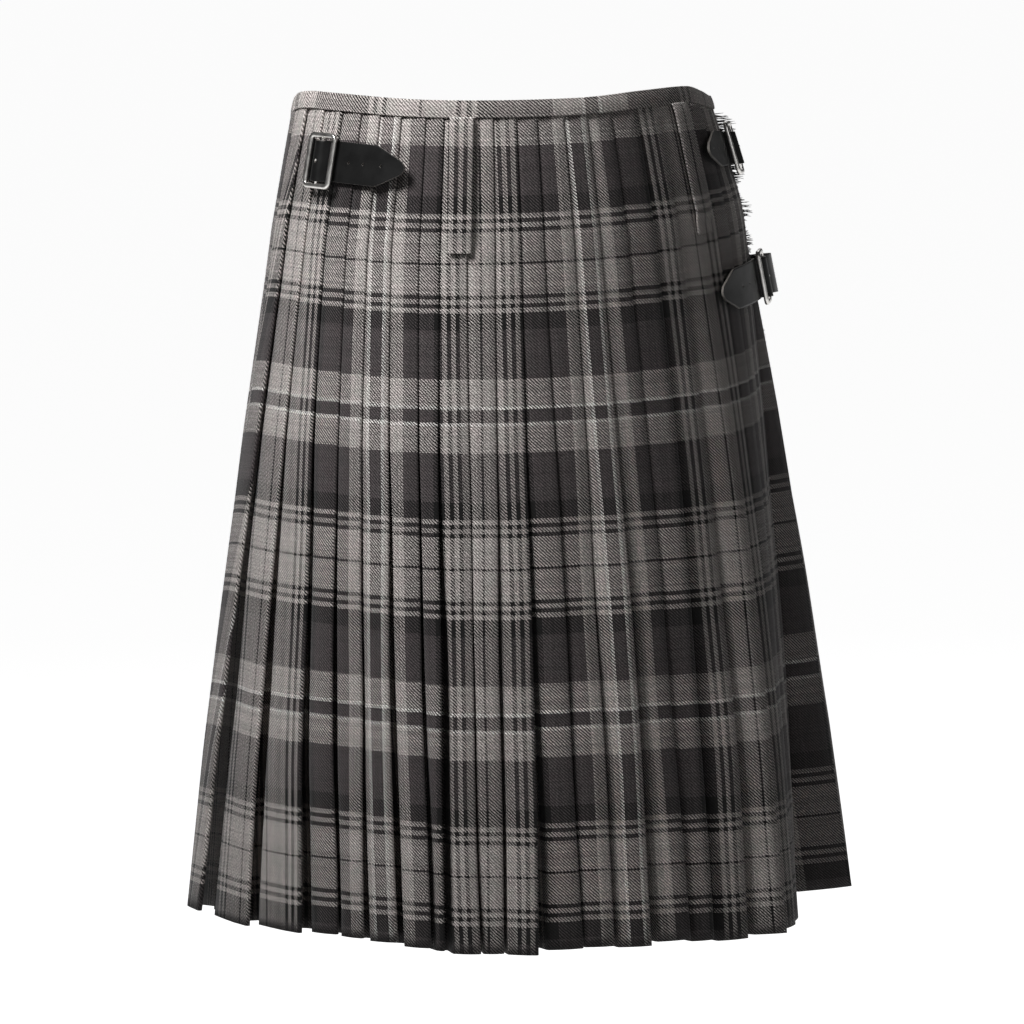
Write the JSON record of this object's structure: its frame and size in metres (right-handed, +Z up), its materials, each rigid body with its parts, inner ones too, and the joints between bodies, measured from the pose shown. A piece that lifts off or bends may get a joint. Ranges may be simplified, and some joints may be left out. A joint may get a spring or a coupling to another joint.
{
  "type": "scottish kilt",
  "caption": "Knee-length wrap skirt of checked wool, knife pleated behind with flat overlapping aprons in front, held at the waist by leather straps and buckles.",
  "frame": {"origin": "centre of the waist opening, level with the top edge at the back, where the wearer's waist holds the kilt up", "axes": "+Z up, -Y the way the wearer faces (aprons), +Y behind (pleats), +X the wearer's left"},
  "size_m": [0.5245, 0.4344, 0.6537],
  "materials": {
    "waistband": "matte woven wool twill, tartan",
    "kilt_cloth": "matte woven wool twill, tartan pleated to the sett",
    "fringe": "frayed wool threads",
    "belt_loop": "matte woven wool twill, tartan",
    "strap_leather": "black leather, smooth and a little glossy, pale cut edge",
    "tab_leather": "black leather, smooth",
    "buckle_metal": "polished nickel plate"
  },
  "bodies": {
    "root": {"waistband": "waistband", "pleated_back": "kilt_cloth", "over_apron": "kilt_cloth", "under_apron": "kilt_cloth", "apron_fringe": "fringe", "belt_loop_left": "belt_loop", "belt_loop_right": "belt_loop", "waist_strap_left": "strap_leather", "waist_strap_right": "strap_leather", "hip_strap_right": "strap_leather", "waist_tab_left": "tab_leather", "waist_tab_right": "tab_leather", "hip_tab_right": "tab_leather", "waist_buckle_left": "buckle_metal", "waist_buckle_right": "buckle_metal", "hip_buckle_right": "buckle_metal"}
  },
  "joints": []
}
